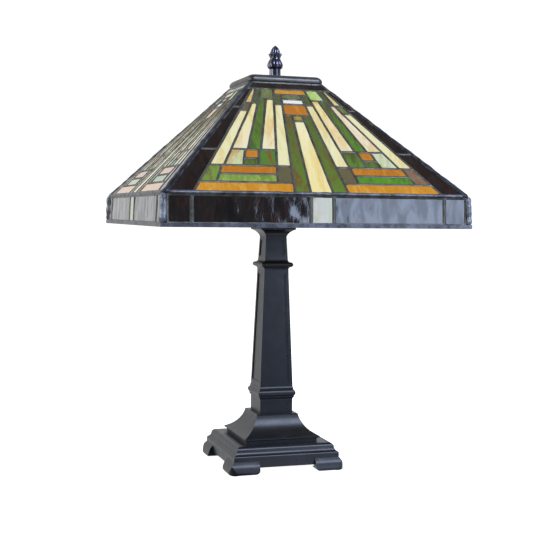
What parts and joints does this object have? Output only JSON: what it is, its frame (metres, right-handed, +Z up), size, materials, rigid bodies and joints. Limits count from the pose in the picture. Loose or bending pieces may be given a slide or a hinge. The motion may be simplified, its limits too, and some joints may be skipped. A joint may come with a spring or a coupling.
{
  "type": "stained glass table lamp",
  "caption": "Table lamp with a square cast base and tapered column under a square pyramid shade of leaded art glass panes, with two bulbs and a screw-on finial.",
  "frame": {"origin": "centre of the base on the surface that the lamp stands on", "axes": "+Z up along the column, -Y towards the front; the base and the shade are square with X and Y"},
  "size_m": [0.413, 0.413, 0.5885],
  "materials": {
    "base_paint": "satin",
    "felt": "matte",
    "iron": "rough",
    "zinc_steel": "satin",
    "bush_plastic": "matte",
    "dark_metal": "satin",
    "cap_metal": "satin",
    "finial_metal": "gloss",
    "brass": "satin",
    "holder_brass": "satin",
    "holder_liner": "matte",
    "phenolic": "satin",
    "bulb_metal": "satin",
    "bulb_glass": "frosted",
    "solder": "patinated solder",
    "glass_amber": "streaky opalescent art glass",
    "glass_cream": "streaky opalescent art glass",
    "glass_green": "streaky opalescent art glass",
    "glass_pale": "streaky opalescent art glass",
    "glass_dark": "glossy dark art glass",
    "glass_skirt_dark": "rippled dark art glass",
    "glass_skirt_pale": "opalescent art glass"
  },
  "bodies": {
    "root": {"ballast_weight": "iron", "base_pedestal": "base_paint", "base_plinth": "base_paint", "bottom_cover": "felt", "capital": "base_paint", "cluster_body": "dark_metal", "cluster_cover": "dark_metal", "column": "base_paint", "column_nut": "zinc_steel", "cord_bushing": "bush_plastic", "foot_pads": "felt", "lamp_rod": "zinc_steel", "neck_plate": "dark_metal", "riser_rod": "zinc_steel", "rod_locknut": "zinc_steel", "rod_washer": "zinc_steel", "seat_nut": "zinc_steel", "shade_seat": "zinc_steel", "socket_contact_left": "brass", "socket_contact_right": "brass", "socket_liner_left": "holder_liner", "socket_liner_right": "holder_liner", "socket_screw_shell_left": "holder_brass", "socket_screw_shell_right": "holder_brass", "socket_shell_left": "holder_brass", "socket_shell_right": "holder_brass", "socket_switch_left": "phenolic", "socket_switch_right": "phenolic"},
    "shade": {"corner_seams": "solder", "eave_beads": "solder", "glass_amber": "glass_amber", "glass_cream": "glass_cream", "glass_dark": "glass_dark", "glass_green": "glass_green", "glass_pale": "glass_pale", "glass_skirt_dark": "glass_skirt_dark", "glass_skirt_pale": "glass_skirt_pale", "hip_beads": "solder", "rim_channel": "solder", "shade_cap": "cap_metal", "skirt_lead_back": "solder", "skirt_lead_front": "solder", "skirt_lead_left": "solder", "skirt_lead_right": "solder", "slope_lead_back": "solder", "slope_lead_front": "solder", "slope_lead_left": "solder", "slope_lead_right": "solder", "top_ring": "solder"},
    "finial_bush": {"finial_insert": "brass"},
    "finial": {"finial": "finial_metal"},
    "knob_left": {"switch_knob_left": "phenolic"},
    "bulb_tip_left": {"bulb_contact_left": "brass"},
    "bulb_left": {"bulb_base_left": "bulb_metal", "bulb_glass_left": "bulb_glass"},
    "knob_right": {"switch_knob_right": "phenolic"},
    "bulb_tip_right": {"bulb_contact_right": "brass"},
    "bulb_right": {"bulb_base_right": "bulb_metal", "bulb_glass_right": "bulb_glass"}
  },
  "joints": [
    {"name": "shade_lift", "type": "slide", "parent": "root", "child": "shade", "axis": [0, 0, 1], "range_m": [0, 0.26]},
    {"name": "finial_rise", "type": "slide", "parent": "shade", "child": "finial_bush", "axis": [0, 0, 1], "range_m": [0, 0.01016]},
    {"name": "finial_turn", "type": "hinge", "parent": "finial_bush", "child": "finial", "pos_m": [0, 0, 0.5415], "axis": [0, 0, 1], "range_deg": [0, 2880]},
    {"name": "switch_turn_right", "type": "hinge", "parent": "root", "child": "knob_right", "pos_m": [0.0395, 0, 0.37365], "axis": [0, -1, 0], "continuous": true},
    {"name": "bulb_out_right", "type": "slide", "parent": "root", "child": "bulb_tip_right", "axis": [0.5, 0, 0.866], "range_m": [0, 0.01089]},
    {"name": "bulb_turn_right", "type": "hinge", "parent": "bulb_tip_right", "child": "bulb_right", "pos_m": [0.044, 0, 0.38144], "axis": [0.5, 0, 0.866], "range_deg": [0, 1080]},
    {"name": "switch_turn_left", "type": "hinge", "parent": "root", "child": "knob_left", "pos_m": [-0.0395, 0, 0.37365], "axis": [0, 1, 0], "continuous": true},
    {"name": "bulb_out_left", "type": "slide", "parent": "root", "child": "bulb_tip_left", "axis": [-0.5, 0, 0.866], "range_m": [0, 0.01089]},
    {"name": "bulb_turn_left", "type": "hinge", "parent": "bulb_tip_left", "child": "bulb_left", "pos_m": [-0.044, 0, 0.38144], "axis": [-0.5, 0, 0.866], "range_deg": [0, 1080]}
  ],
  "couplings": [
    {"joint": "finial_turn", "follows": "finial_rise", "rad_per_m": 4947.4},
    {"joint": "bulb_turn_right", "follows": "bulb_out_right", "rad_per_m": 1730.9},
    {"joint": "bulb_turn_left", "follows": "bulb_out_left", "rad_per_m": 1730.9}
  ]
}
